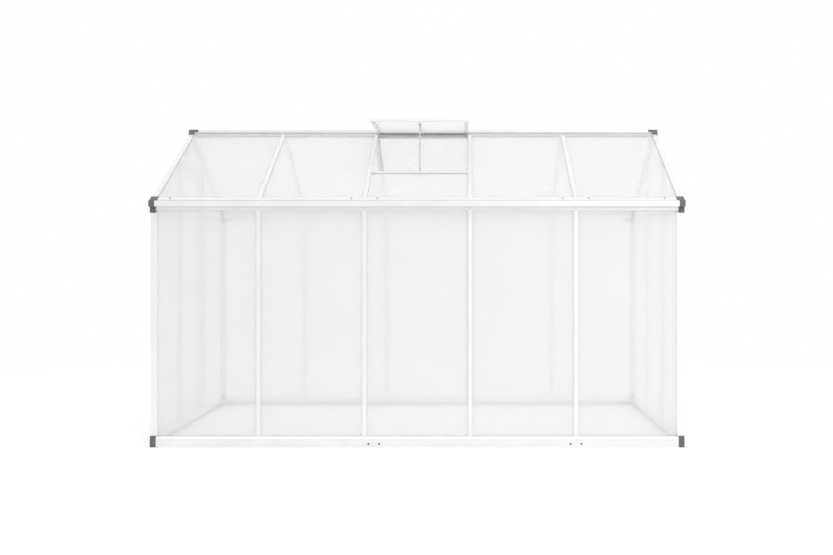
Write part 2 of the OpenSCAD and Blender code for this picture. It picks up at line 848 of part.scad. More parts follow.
module track_section() {
  rect(face_in - wall, track_low_z, face_in, track_low_z + track_h);
  rect(-track_out, track_low_z + track_h - wall, face_in, track_low_z + track_h);
  rect(-track_out, track_low_z + track_h - 10, -track_out + wall, track_low_z + track_h);
  rect(-rib_out - 1, track_low_z, face_in, track_low_z + wall);
  rect(-rib_out - 1, track_low_z, -rib_out + 1, track_low_z + wall + rib_h);
}

module track_bar() {
  difference() {
    to_door_end() back_run(-door_half - 10, track_end_y) track_section();
    track_bolt_holes();
  }
}

module hanger(y) {
  plate_out = -rib_out - roller_w / 2 - 1.5;
  translate([plate_out - 2.5, y - 14, door_top]) cube([2.5, 28, roller_z + 8 - door_top]);
  translate([door_out, y - 14, door_top]) cube([door_t, 28, 3]);
  translate([plate_out - 1, y, roller_z]) rotate([0, 90, 0])
    cylinder(r = axle_r, h = roller_w + 4, $fn = 32);
}

module roller(y) {
  translate([-rib_out - roller_w / 2, y, roller_z]) rotate([0, 90, 0]) difference() {
    cylinder(r = roller_r, h = roller_w, $fn = 48);
    translate([0, 0, -1]) cylinder(r = axle_r + axle_play, h = roller_w + 2, $fn = 48);
    translate([0, 0, roller_w / 2 - 1.6]) difference() {
      cylinder(r = roller_r + 1, h = 3.2, $fn = 48);
      translate([0, 0, -1]) cylinder(r = roll_r, h = 5.2, $fn = 48);
    }
  }
}

module pull_handle() {
  reach = 19;
  y = door_half - stile_w / 2;
  half_h = 55;
  translate([door_out - reach, y - 8, mid_rail_z - half_h]) cube([7, 16, 2 * half_h]);
  for (s = [-1, 1])
    translate([door_out - reach, y - 8, mid_rail_z + s * (half_h - 8) - 8]) cube([reach, 16, 16]);
}

module floor_guide() {
  lip_out = door_out - 4;
  z = door_z - 16;
  translate([lip_out - wall, jamb_y - guide_w / 2, z]) cube([-lip_out + wall, guide_w, wall]);
  translate([lip_out - wall, jamb_y - guide_w / 2, z]) cube([wall, guide_w, 30]);
  translate([-wall, jamb_y - guide_w / 2, z - 24]) cube([wall, guide_w, 26]);
}

// Fasteners

module bolt(shank) {
  translate([0, 0, -bolt_head_h]) cylinder(r = bolt_head_r, h = bolt_head_h, $fn = 32);
  translate([0, 0, -0.5]) cylinder(r = bolt_r, h = shank + 0.5, $fn = 24);
}

module base_bolts() {
  for (x = base_joint_x)
    for (s = [-1, 1])
      translate([x + s * joint_bolt, -half_d, joint_bolt_z]) rotate([-90, 0, 0]) {
        bolt(wall + splice_t + nut_h + 2);
        translate([0, 0, wall + splice_t]) cylinder(r = nut_r, h = nut_h, $fn = 6);
      }
}

module track_bolts() {
  for (y = track_bolt_y)
    translate([-half_l + face_in - wall, y, track_bolt_z]) rotate([0, 90, 0]) bolt(2 * wall - fit);
}

// Nodes

module aluminium() {
  color([0.84, 0.85, 0.86]) children();
}

module plastic() {
  color([0.36, 0.37, 0.39]) children();
}

module sheet() {
  color([0.93, 0.95, 0.97, 0.55]) children();
}

module steel() {
  color([0.30, 0.31, 0.33]) children();
}

aluminium() base_side_rail(0);  // base_rail_front_1
aluminium() base_side_rail(1);  // base_rail_front_2
aluminium() base_side_rail(2);  // base_rail_front_3
aluminium() to_rear() for (k = [0 : 2]) base_side_rail(k);  // base_rails_rear
aluminium() base_end_rail();  // base_rail_back_end
aluminium() to_door_end() base_end_rail();  // base_rail_door_end
plastic() all_corners() base_corner_block();  // base_corner_blocks
aluminium() both_sides() for (x = base_joint_x) base_splice_plate(x);  // base_splice_plates
aluminium() at_corner(-1, -1) corner_post();  // corner_post_front_left
aluminium() at_corner(1, -1) corner_post();  // corner_post_front_right
aluminium() at_corner(-1, 1) corner_post();  // corner_post_rear_left
aluminium() at_corner(1, 1) corner_post();  // corner_post_rear_right
aluminium() for (i = [1 : side_bays - 1]) front_wall_bar(bar_x(i));  // front_wall_bars
aluminium() to_rear() for (i = [1 : side_bays - 1]) front_wall_bar(bar_x(i));  // rear_wall_bars
aluminium() both_sides() back_gable_bar_pair(jamb_y);  // back_gable_bars
aluminium() difference() {  // door_jambs
    both_sides() door_jamb(jamb_y);
    track_bolt_holes();
  }
aluminium() {  // gable_tie_bars
    level_bar(tie_z, -tie_y, tie_y, stem_end_y);
    to_door_end() both_sides() level_bar(tie_z, jamb_y + bar_w / 2 + fit, tie_y, stem_end_y);
  }
aluminium() to_door_end()  // door_header
    level_bar(header_z, -jamb_y + bar_w / 2 + fit, jamb_y - bar_w / 2 - fit, jamb_y);
aluminium() front_gutter(0);  // front_gutter_1
aluminium() front_gutter(1);  // front_gutter_2
aluminium() front_gutter(2);  // front_gutter_3
aluminium() to_rear() for (k = [0 : 2]) front_gutter(k);  // rear_gutters
aluminium() both_sides() for (b = joint_bars) gutter_splice(bar_x(b));  // gutter_splices
aluminium() both_sides() for (k = [0 : 2]) front_edge_strip(k);  // roof_edge_strips
steel() both_sides() for (x = screw_x) strip_screw(x);  // edge_strip_screws
plastic() all_corners() eave_corner_block();  // eave_corner_blocks
plastic() all_corners() gutter_end_cap();  // gutter_end_caps
aluminium() ridge_bar(0);  // ridge_bar_1
aluminium() ridge_bar(1);  // ridge_bar_2
aluminium() ridge_bar(2);  // ridge_bar_3
plastic() both_ends() ridge_end_cap();  // ridge_end_caps
aluminium() both_sides() back_rafter();  // back_gable_rafters
aluminium() difference() {  // door_gable_rafters
    to_door_end() both_sides() back_rafter();
    track_bolt_holes();
  }
aluminium() for (i = [1 : side_bays - 1]) front_roof_bar(bar_x(i));  // front_roof_bars
aluminium() to_rear() for (i = [1 : side_bays - 1]) front_roof_bar(bar_x(i));  // rear_roof_bars
sheet() front_wall_sheet(0);  // front_wall_panel_1
sheet() front_wall_sheet(1);  // front_wall_panel_2
sheet() front_wall_sheet(2);  // front_wall_panel_3
sheet() front_wall_sheet(3);  // front_wall_panel_4
sheet() front_wall_sheet(4);  // front_wall_panel_5
sheet() to_rear() for (i = [0 : side_bays - 1]) front_wall_sheet(i);  // rear_wall_panels
sheet() for (i = [0 : side_bays - 1])  // front_roof_panels
    front_roof_sheet(i, i == vent_bay ? sill_u - web_t / 2 - 1 : sheet_top_u);
sheet() to_rear() for (i = [0 : side_bays - 1]) front_roof_sheet(i, sheet_top_u);  // rear_roof_panels
sheet() on_back_sheet() {  // back_gable_panels
    outer_gable_sheets();
    mirror([1, 0]) outer_gable_sheets();
    rect(-sheet_y, base_plate_h, sheet_y, low_top_z);
    apex_sheet(up_low_z);
  }
sheet() to_door_end() on_back_sheet() {  // door_gable_panels
    outer_gable_sheets();
    mirror([1, 0]) outer_gable_sheets();
    apex_sheet(header_z + web_t / 2);
  }
aluminium() vent_sill_bar();  // vent_sill
steel() stay_peg_piece();  // stay_peg
aluminium() vent_frame_rails();  // vent_frame
steel() vent_bar_with_ears();  // vent_centre_bar
sheet() vent_sheet();  // vent_panel
steel() stay_bar();  // vent_stay
aluminium() at_door() {  // door_frame
    door_stile(-1);
    door_stile(1);
    door_rail(door_z, bottom_rail_h, false, true);
    door_rail(mid_rail_z - mid_rail_h / 2, mid_rail_h, true, true);
    door_rail(door_top - top_rail_h, top_rail_h, true, false);
  }
sheet() at_door() {  // door_panels
    door_sheet(door_z + bottom_rail_h - door_slot_d, mid_rail_z - mid_rail_h / 2 + door_slot_d - 1);
    door_sheet(mid_rail_z + mid_rail_h / 2 - door_slot_d, door_top - top_rail_h + door_slot_d - 1);
  }
aluminium() track_bar();  // door_track
steel() at_door() for (s = [-1, 1]) hanger(s * hanger_y);  // door_hangers
plastic() at_door() roller(-hanger_y);  // door_roller_front
plastic() at_door() roller(hanger_y);  // door_roller_rear
plastic() at_door() pull_handle();  // door_handle
aluminium() at_door() floor_guide();  // door_floor_guide
steel() {  // frame_bolts
    both_sides() base_bolts();
    track_bolts();
  }
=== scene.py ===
# Walk-in greenhouse: aluminium profiles, twin-wall sheets, a roof vent and a sliding door.
# Everything is in metres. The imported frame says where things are; each dictionary holds what may be tuned.
import math
import bmesh
import bpy
from mathutils import Matrix, Vector


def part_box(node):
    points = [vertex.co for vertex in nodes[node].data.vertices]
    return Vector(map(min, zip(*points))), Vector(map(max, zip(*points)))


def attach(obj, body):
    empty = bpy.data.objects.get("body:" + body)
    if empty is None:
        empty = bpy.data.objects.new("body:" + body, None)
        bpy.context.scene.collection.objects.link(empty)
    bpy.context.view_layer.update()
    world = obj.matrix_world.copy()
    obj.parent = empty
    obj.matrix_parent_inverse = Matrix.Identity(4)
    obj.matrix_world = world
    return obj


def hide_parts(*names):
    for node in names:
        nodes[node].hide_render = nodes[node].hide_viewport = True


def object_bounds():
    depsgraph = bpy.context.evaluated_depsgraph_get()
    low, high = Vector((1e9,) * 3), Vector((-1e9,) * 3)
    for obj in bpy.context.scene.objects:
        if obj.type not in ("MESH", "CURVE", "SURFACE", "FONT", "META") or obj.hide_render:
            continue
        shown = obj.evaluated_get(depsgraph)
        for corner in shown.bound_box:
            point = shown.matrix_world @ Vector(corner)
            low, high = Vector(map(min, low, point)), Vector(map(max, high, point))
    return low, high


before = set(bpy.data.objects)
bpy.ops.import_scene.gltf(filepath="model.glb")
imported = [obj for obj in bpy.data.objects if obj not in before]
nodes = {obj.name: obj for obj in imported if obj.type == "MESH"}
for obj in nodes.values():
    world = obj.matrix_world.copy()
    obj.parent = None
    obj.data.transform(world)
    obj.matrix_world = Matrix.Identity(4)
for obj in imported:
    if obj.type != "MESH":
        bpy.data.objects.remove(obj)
cadBox = [list(corner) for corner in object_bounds()]

yAxis = Vector((0, 1, 0))
zAxis = Vector((0, 0, 1))
quarter = math.pi / 2
scene = bpy.context.scene
mergeDistance = 1e-6


def newObject(name, data):
    piece = bpy.data.objects.new(name, data)
    scene.collection.objects.link(piece)
    return piece


def objectFromBmesh(name, bm, material):
    mesh = bpy.data.meshes.new(name)
    bm.to_mesh(mesh)
    bm.free()
    mesh.materials.append(material)
    return newObject(name, mesh)


def pourInto(target, bm):
    # adds one bmesh to another and frees it
    mesh = bpy.data.meshes.new("poured")
    bm.to_mesh(mesh)
    bm.free()
    target.from_mesh(mesh)
    bpy.data.meshes.remove(mesh)


def mergedCopy(nodeName):
    # a CAD node's mesh is loose triangles, so a copy is merged before it is worked on
    bm = bmesh.new()
    bm.from_mesh(nodes[nodeName].data)
    bmesh.ops.remove_doubles(bm, verts=bm.verts, dist=mergeDistance)
    return bm


def islandsOf(bm):
    # one vertex list for each separate solid
    left = set(bm.verts)
    found = []
    while left:
        todo = [left.pop()]
        island = []
        while todo:
            vert = todo.pop()
            island.append(vert)
            for edge in vert.link_edges:
                other = edge.other_vert(vert)
                if other in left:
                    left.remove(other)
                    todo.append(other)
        found.append(island)
    return sorted(found, key=lambda verts: tuple(round(c, 4) for c in boxOf(verts)[0]))


def boxOf(verts):
    low = Vector([min(v.co[i] for v in verts) for i in range(3)])
    high = Vector([max(v.co[i] for v in verts) for i in range(3)])
    return low, high


def finishPiece(piece, body, replaced=()):
    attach(piece, body)
    if replaced:
        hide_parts(*replaced)
    return piece


# nearly all of a noise texture's values lie in noiseSpan
noiseSpan = (0.3, 0.7)
wearSpan = (0.38, 0.62)
dustSpan = (-0.2, 1.0)


def feed(tree, node, inputs):
    # sockets are linked, and plain values are set
    for key, value in inputs.items():
        if isinstance(value, bpy.types.NodeSocket):
            tree.links.new(value, node.inputs[key])
        else:
            node.inputs[key].default_value = value
    return node


def addNode(tree, kind, inputs=None, **settings):
    node = tree.nodes.new(kind)
    for key, value in settings.items():
        setattr(node, key, value)
    return feed(tree, node, inputs or {})


def placeGroup(tree, group, inputs):
    return feed(tree, addNode(tree, "ShaderNodeGroup", node_tree=group), inputs)


def newTree(name, kind, inputs, outputs):
    tree = bpy.data.node_groups.new(name, kind)
    for label, socketType, value in inputs:
        socket = tree.interface.new_socket(name=label, in_out="INPUT", socket_type=socketType)
        if value is not None:
            socket.default_value = value
    for label, socketType in outputs:
        tree.interface.new_socket(name=label, in_out="OUTPUT", socket_type=socketType)
    return tree, tree.nodes.new("NodeGroupInput"), tree.nodes.new("NodeGroupOutput")


def mathNode(tree, operation, a, b=None, clamp=False):
    inputs = {0: a} if b is None else {0: a, 1: b}
    return addNode(tree, "ShaderNodeMath", inputs, operation=operation, use_clamp=clamp).outputs[0]


def vectorMath(tree, operation, a, b=None):
    inputs = {0: a} if b is None else {0: a, 1: b}
    return addNode(tree, "ShaderNodeVectorMath", inputs, operation=operation).outputs[0]


def noise(tree, vector, scale, detail, roughness=0.5):
    return addNode(tree, "ShaderNodeTexNoise", {
        "Vector": vector, "Scale": scale, "Detail": detail, "Roughness": roughness,
    }).outputs[0]


def remap(tree, value, span, low=0.0, high=1.0):
    return addNode(tree, "ShaderNodeMapRange", {
        "Value": value, "From Min": span[0], "From Max": span[1], "To Min": low, "To Max": high,
    }).outputs[0]


def makeExtrusionGrain():
    # fine die lines that run along local X, and a slow cloudiness of the anodised skin
    tree, start, end = newTree(
        "extrusionGrain",
        "ShaderNodeTree",
        [("Vector", "NodeSocketVector", None), ("Line Spacing", "NodeSocketFloat", 0.0015),
         ("Line Length", "NodeSocketFloat", 0.8), ("Cloud Size", "NodeSocketFloat", 0.12)],
        [("Lines", "NodeSocketFloat"), ("Cloud", "NodeSocketFloat")],
    )
    across = mathNode(tree, "DIVIDE", 1.0, start.outputs["Line Spacing"])
    along = mathNode(tree, "DIVIDE", 1.0, start.outputs["Line Length"])
    scales = addNode(tree, "ShaderNodeCombineXYZ", {"X": along, "Y": across, "Z": across}).outputs[0]
    stretched = vectorMath(tree, "MULTIPLY", start.outputs["Vector"], scales)
    lines = noise(tree, stretched, 1.0, detail=3.0)
    cloudScale = mathNode(tree, "DIVIDE", 1.0, start.outputs["Cloud Size"])
    cloud = noise(tree, start.outputs["Vector"], cloudScale, detail=2.0)
    feed(tree, end, {"Lines": lines, "Cloud": cloud})
    return tree


def makeEdgeWear():
    # broken-up mask on the rounded edges of moulded and turned pieces
    tree, start, end = newTree(
        "edgeWear",
        "ShaderNodeTree",
        [("Vector", "NodeSocketVector", None), ("Edge", "NodeSocketFloat", 0.0),
         ("Patch Size", "NodeSocketFloat", 0.01), ("Amount", "NodeSocketFloat", 0.5)],
        [("Mask", "NodeSocketFloat")],
    )
    patchScale = mathNode(tree, "DIVIDE", 1.0, start.outputs["Patch Size"])
    patches = noise(tree, start.outputs["Vector"], patchScale, detail=4.0)
    broken = remap(tree, patches, wearSpan)
    onEdge = mathNode(tree, "MULTIPLY", broken, start.outputs["Edge"])
    mask = mathNode(tree, "MULTIPLY", onEdge, start.outputs["Amount"], clamp=True)
    tree.links.new(mask, end.inputs["Mask"])
    return tree


def makeDust():
    # pale film that settles in patches, most of all on upward faces
    tree, start, end = newTree(
        "settledDust",
        "ShaderNodeTree",
        [("Vector", "NodeSocketVector", None), ("Amount", "NodeSocketFloat", 0.1),
         ("Patch Size", "NodeSocketFloat", 0.2)],
        [("Mask", "NodeSocketFloat")],
    )
    normal = addNode(tree, "ShaderNodeNewGeometry").outputs["Normal"]
    up = addNode(tree, "ShaderNodeSeparateXYZ", {0: normal}).outputs["Z"]
    facing = remap(tree, up, dustSpan)
    patchScale = mathNode(tree, "DIVIDE", 1.0, start.outputs["Patch Size"])
    patches = noise(tree, start.outputs["Vector"], patchScale, detail=5.0)
    film = mathNode(tree, "MULTIPLY", facing, patches)
    mask = mathNode(tree, "MULTIPLY", film, start.outputs["Amount"], clamp=True)
    tree.links.new(mask, end.inputs["Mask"])
    return tree


extrusionGrain = makeExtrusionGrain()
edgeWear = makeEdgeWear()
settledDust = makeDust()
print("shader groups: extrusionGrain, edgeWear, settledDust")


def newMaterial(name):
    material = bpy.data.materials.new(name)
    material.use_nodes = True
    tree = material.node_tree
    principled = tree.nodes["Principled BSDF"]
    coords = addNode(tree, "ShaderNodeTexCoord").outputs["Object"]
    return material, tree, principled, coords


def mixColour(tree, factor, dark, light):
    return addNode(
        tree, "ShaderNodeMix", {0: factor, 6: dark, 7: light}, data_type="RGBA"
    ).outputs[2]


def setBump(tree, principled, height, strength, distance):
    bump = addNode(tree, "ShaderNodeBump", {"Height": height, "Strength": strength, "Distance": distance})
    tree.links.new(bump.outputs[0], principled.inputs["Normal"])


aluminiumLook = {
    "dark": (0.73, 0.736, 0.742, 1),
    "light": (0.82, 0.826, 0.832, 1),
    "dust": (0.86, 0.85, 0.82, 1),
    "dustAmount": 0.10,
    "metallic": 0.60,
    "roughLow": 0.34,
    "roughHigh": 0.48,
    "lineSpacing": 0.0014,
    "lineLength": 0.9,
    "cloudSize": 0.16,
    "bumpStrength": 0.12,
    "bumpDistance": 0.0003,
}


def makeAluminium(name, runAngles, mirrorDepth=False):
    # runAngles turn local X onto the way the profile was drawn
    material, tree, principled, coords = newMaterial(name)
    if mirrorDepth:
        parts = addNode(tree, "ShaderNodeSeparateXYZ", {0: coords}).outputs
        away = mathNode(tree, "ABSOLUTE", parts["Y"])
        coords = addNode(
            tree, "ShaderNodeCombineXYZ", {"X": parts["X"], "Y": away, "Z": parts["Z"]}
        ).outputs[0]
    turned = addNode(
        tree, "ShaderNodeMapping", {"Vector": coords, "Rotation": runAngles}, vector_type="TEXTURE"
    ).outputs[0]
    look = aluminiumLook
    grain = placeGroup(tree, extrusionGrain, {
        "Vector": turned, "Line Spacing": look["lineSpacing"],
        "Line Length": look["lineLength"], "Cloud Size": look["cloudSize"],
    })
    dust = placeGroup(tree, settledDust, {"Vector": coords, "Amount": look["dustAmount"]})
    skin = mixColour(tree, grain.outputs["Cloud"], look["dark"], look["light"])
    colour = mixColour(tree, dust.outputs["Mask"], skin, look["dust"])
    rough = remap(tree, grain.outputs["Lines"], noiseSpan, look["roughLow"], look["roughHigh"])
    feed(tree, principled, {"Base Color": colour, "Roughness": rough, "Metallic": look["metallic"]})
    setBump(tree, principled, grain.outputs["Lines"], look["bumpStrength"], look["bumpDistance"])
    return material


sheetLook = {
    "skinColour": (0.838, 0.840, 0.840, 1),
    "hazeColour": (0.848, 0.849, 0.848, 1),
    "skinAlpha": 0.29,
    "hazeAlpha": 0.30,
    "ribAlpha": 0.36,
    "lightAlpha": 0.10,
    "glowShare": 0.5,
    "roughness": 0.22,
    "ior": 1.45,
    "hazeSize": 0.35,
    "hazeDetail": 3.0,
    "hazeRoughness": 0.4,
    "drawSpacing": 0.008,
    "drawLength": 1.2,
    "bumpStrength": 0.05,
    "bumpDistance": 0.0004,
}


def makeSheetMaterial(name, alphaLow, alphaHigh):
    # frosted polycarbonate: a cloudy pale skin with drawing streaks along its flutes
    material, tree, principled, coords = newMaterial(name)
    look = sheetLook
    haze = noise(tree, coords, 1 / look["hazeSize"], look["hazeDetail"], look["hazeRoughness"])
    # the sheet's own map runs across the flutes in U and along them in V
    flutes = addNode(tree, "ShaderNodeUVMap", uv_map="flutes").outputs[0]
    turned = addNode(
        tree, "ShaderNodeMapping", {"Vector": flutes, "Rotation": (0, 0, quarter)}, vector_type="TEXTURE"
    ).outputs[0]
    streaks = placeGroup(tree, extrusionGrain, {
        "Vector": turned, "Line Spacing": look["drawSpacing"], "Line Length": look["drawLength"],
    })
    colour = mixColour(tree, haze, look["skinColour"], look["hazeColour"])
    alpha = remap(tree, haze, noiseSpan, alphaLow, alphaHigh)
    # light scatters through the sheet more easily than the eye looks through it
    seen = addNode(tree, "ShaderNodeLightPath").outputs["Is Camera Ray"]
    through = addNode(
        tree, "ShaderNodeMix", {0: seen, 2: look["lightAlpha"], 3: alpha}, data_type="FLOAT"
    ).outputs[0]
    feed(tree, principled, {"Base Color": colour, "Roughness": look["roughness"], "IOR": look["ior"]})
    setBump(tree, principled, streaks.outputs["Lines"], look["bumpStrength"], look["bumpDistance"])
    glow = addNode(tree, "ShaderNodeBsdfTranslucent", {"Color": colour})
    body = addNode(
        tree, "ShaderNodeMixShader", {0: look["glowShare"], 1: principled.outputs[0], 2: glow.outputs[0]}
    )
    clear = addNode(tree, "ShaderNodeBsdfTransparent")
    surface = addNode(
        tree, "ShaderNodeMixShader", {0: through, 1: clear.outputs[0], 2: body.outputs[0]}
    )
    tree.links.new(surface.outputs[0], tree.nodes["Material Output"].inputs["Surface"])
    return material


plasticLook = {
    "dark": (0.062, 0.064, 0.068, 1),
    "light": (0.085, 0.087, 0.092, 1),
    "worn": (0.20, 0.20, 0.21, 1),
    "dust": (0.35, 0.34, 0.32, 1),
    "dustAmount": 0.12,
    "dustPatch": 0.03,
    "grainSize": 0.0007,
    "cloudScale": 22.0,
    "wearAmount": 0.45,
    "wearPatch": 0.006,
    "roughLow": 0.42,
    "roughHigh": 0.58,
    "bumpStrength": 0.25,
    "bumpDistance": 0.0002,
}


def makeMouldedPlastic():
    # dark grey moulding with a spark-eroded grain
    material, tree, principled, coords = newMaterial("mouldedPlastic")
    look = plasticLook
    grain = addNode(
        tree, "ShaderNodeTexVoronoi", {"Vector": coords, "Scale": 1 / look["grainSize"]}
    ).outputs["Distance"]
    cloud = noise(tree, coords, look["cloudScale"], detail=3.0)
    edge = addNode(tree, "ShaderNodeAttribute", attribute_name="edge").outputs["Fac"]
    wear = placeGroup(tree, edgeWear, {
        "Vector": coords, "Edge": edge, "Patch Size": look["wearPatch"], "Amount": look["wearAmount"],
    })
    dust = placeGroup(tree, settledDust, {
        "Vector": coords, "Amount": look["dustAmount"], "Patch Size": look["dustPatch"],
    })
    base = mixColour(tree, cloud, look["dark"], look["light"])
    rubbed = mixColour(tree, wear.outputs["Mask"], base, look["worn"])
    colour = mixColour(tree, dust.outputs["Mask"], rubbed, look["dust"])
    rough = remap(tree, cloud, noiseSpan, look["roughLow"], look["roughHigh"])
    feed(tree, principled, {"Base Color": colour, "Roughness": rough})
    setBump(tree, principled, grain, look["bumpStrength"], look["bumpDistance"])
    return material


steelLook = {
    "dark": (0.055, 0.057, 0.060, 1),
    "light": (0.11, 0.112, 0.118, 1),
    "worn": (0.42, 0.42, 0.43, 1),
    "metallic": 0.65,
    "patchSize": 0.012,
    "wearAmount": 0.3,
    "wearPatch": 0.003,
    "roughLow": 0.32,
    "roughHigh": 0.5,
    "bumpStrength": 0.15,
    "bumpDistance": 0.0002,
}

zincLook = dict(
    steelLook, dark=(0.50, 0.51, 0.52, 1), light=(0.66, 0.67, 0.68, 1),
    worn=(0.8, 0.8, 0.8, 1), metallic=0.8,
)


def makeSteel(name, look):
    # blackened steel of the fasteners, or the zinc-plated steel of the vent's stay
    material, tree, principled, coords = newMaterial(name)
    patches = noise(tree, coords, 1 / look["patchSize"], detail=5.0)
    edge = addNode(tree, "ShaderNodeAttribute", attribute_name="edge").outputs["Fac"]
    wear = placeGroup(tree, edgeWear, {
        "Vector": coords, "Edge": edge, "Patch Size": look["wearPatch"], "Amount": look["wearAmount"],
    })
    base = mixColour(tree, patches, look["dark"], look["light"])
    colour = mixColour(tree, wear.outputs["Mask"], base, look["worn"])
    rough = remap(tree, patches, noiseSpan, look["roughLow"], look["roughHigh"])
    feed(tree, principled, {"Base Color": colour, "Roughness": rough, "Metallic": look["metallic"]})
    setBump(tree, principled, patches, look["bumpStrength"], look["bumpDistance"])
    return material


def largestNormal(bm, verts):
    # the way the broad face of a flat solid looks
    members = set(verts)
    totals = {}
    for face in bm.faces:
        if face.verts[0] in members:
            key = tuple(round(c, 2) for c in face.normal)
            area, total = totals.get(key, (0, Vector()))
            totals[key] = (area + face.calc_area(), total + face.normal * face.calc_area())
    return max(totals.values(), key=lambda item: item[0])[1].normalized()


roofProbe = mergedCopy("front_roof_panels")
roofNormal = largestNormal(roofProbe, islandsOf(roofProbe)[0])
roofProbe.free()
slope = math.atan2(abs(roofNormal.y), abs(roofNormal.z))

aluminiumRuns = {
    "aluminiumAlongLength": (
        (0, 0, 0), False,
        ["base_rail_front_1", "base_rail_front_2", "base_rail_front_3", "base_rails_rear",
         "base_splice_plates", "front_gutter_1", "front_gutter_2", "front_gutter_3", "rear_gutters",
         "gutter_splices", "roof_edge_strips", "ridge_bar_1", "ridge_bar_2", "ridge_bar_3",
         "vent_sill", "vent_frame"],
    ),
    "aluminiumAlongDepth": (
        (0, 0, quarter), False,
        ["base_rail_back_end", "base_rail_door_end", "gable_tie_bars", "door_header", "door_track",
         "door_floor_guide"],
    ),
    "aluminiumUpright": (
        (0, -quarter, 0), False,
        ["corner_post_front_left", "corner_post_front_right", "corner_post_rear_left",
         "corner_post_rear_right", "front_wall_bars", "rear_wall_bars", "back_gable_bars",
         "door_jambs", "door_frame"],
    ),
    "aluminiumUpSlope": (
        (0, slope, quarter), True,
        ["back_gable_rafters", "door_gable_rafters", "front_roof_bars", "rear_roof_bars"],
    ),
}


def dress(nodeName, material):
    slots = nodes[nodeName].data.materials
    slots.clear()
    slots.append(material)


runMaterials = {}
for runName, (angles, mirrored, members) in aluminiumRuns.items():
    runMaterials[runName] = makeAluminium(runName, angles, mirrored)
    for member in members:
        dress(member, runMaterials[runName])

sheetSkin = makeSheetMaterial("frostedSkin", sheetLook["skinAlpha"], sheetLook["hazeAlpha"])
sheetRib = makeSheetMaterial("frostedRib", sheetLook["ribAlpha"], sheetLook["ribAlpha"])
mouldedPlastic = makeMouldedPlastic()
darkSteel = makeSteel("darkSteel", steelLook)
zincSteel = makeSteel("zincSteel", zincLook)
for member in ["stay_peg", "vent_stay", "door_hangers"]:
    dress(member, zincSteel)
dress("vent_centre_bar", runMaterials["aluminiumUpSlope"])
print("materials: four aluminium runs, frosted sheet, moulded plastic, dark and zinc-plated steel")


sheetShape = {
    "skin": 0.0005,
    "ribPitch": 0.0100,
    "ribThickness": 0.0004,
    "ribBite": 0.0001,
    "broadFace": 0.9,
    "rayMargin": 0.1,
}

# node, body, and the way that its flutes run
sheetPlan = {
    "backGableSheets": ("back_gable_panels", "house", zAxis),
    "doorGableSheets": ("door_gable_panels", "house", zAxis),
    "rearWallSheets": ("rear_wall_panels", "house", zAxis),
    "frontRoofSheets": ("front_roof_panels", "house", zAxis),
    "rearRoofSheets": ("rear_roof_panels", "house", zAxis),
    "ventSheet": ("vent_panel", "vent", yAxis),
    "doorSheets": ("door_panels", "door", zAxis),
}
for bayNumber in range(1, 6):
    sheetPlan[f"frontWallSheet{bayNumber}"] = (f"front_wall_panel_{bayNumber}", "house", zAxis)


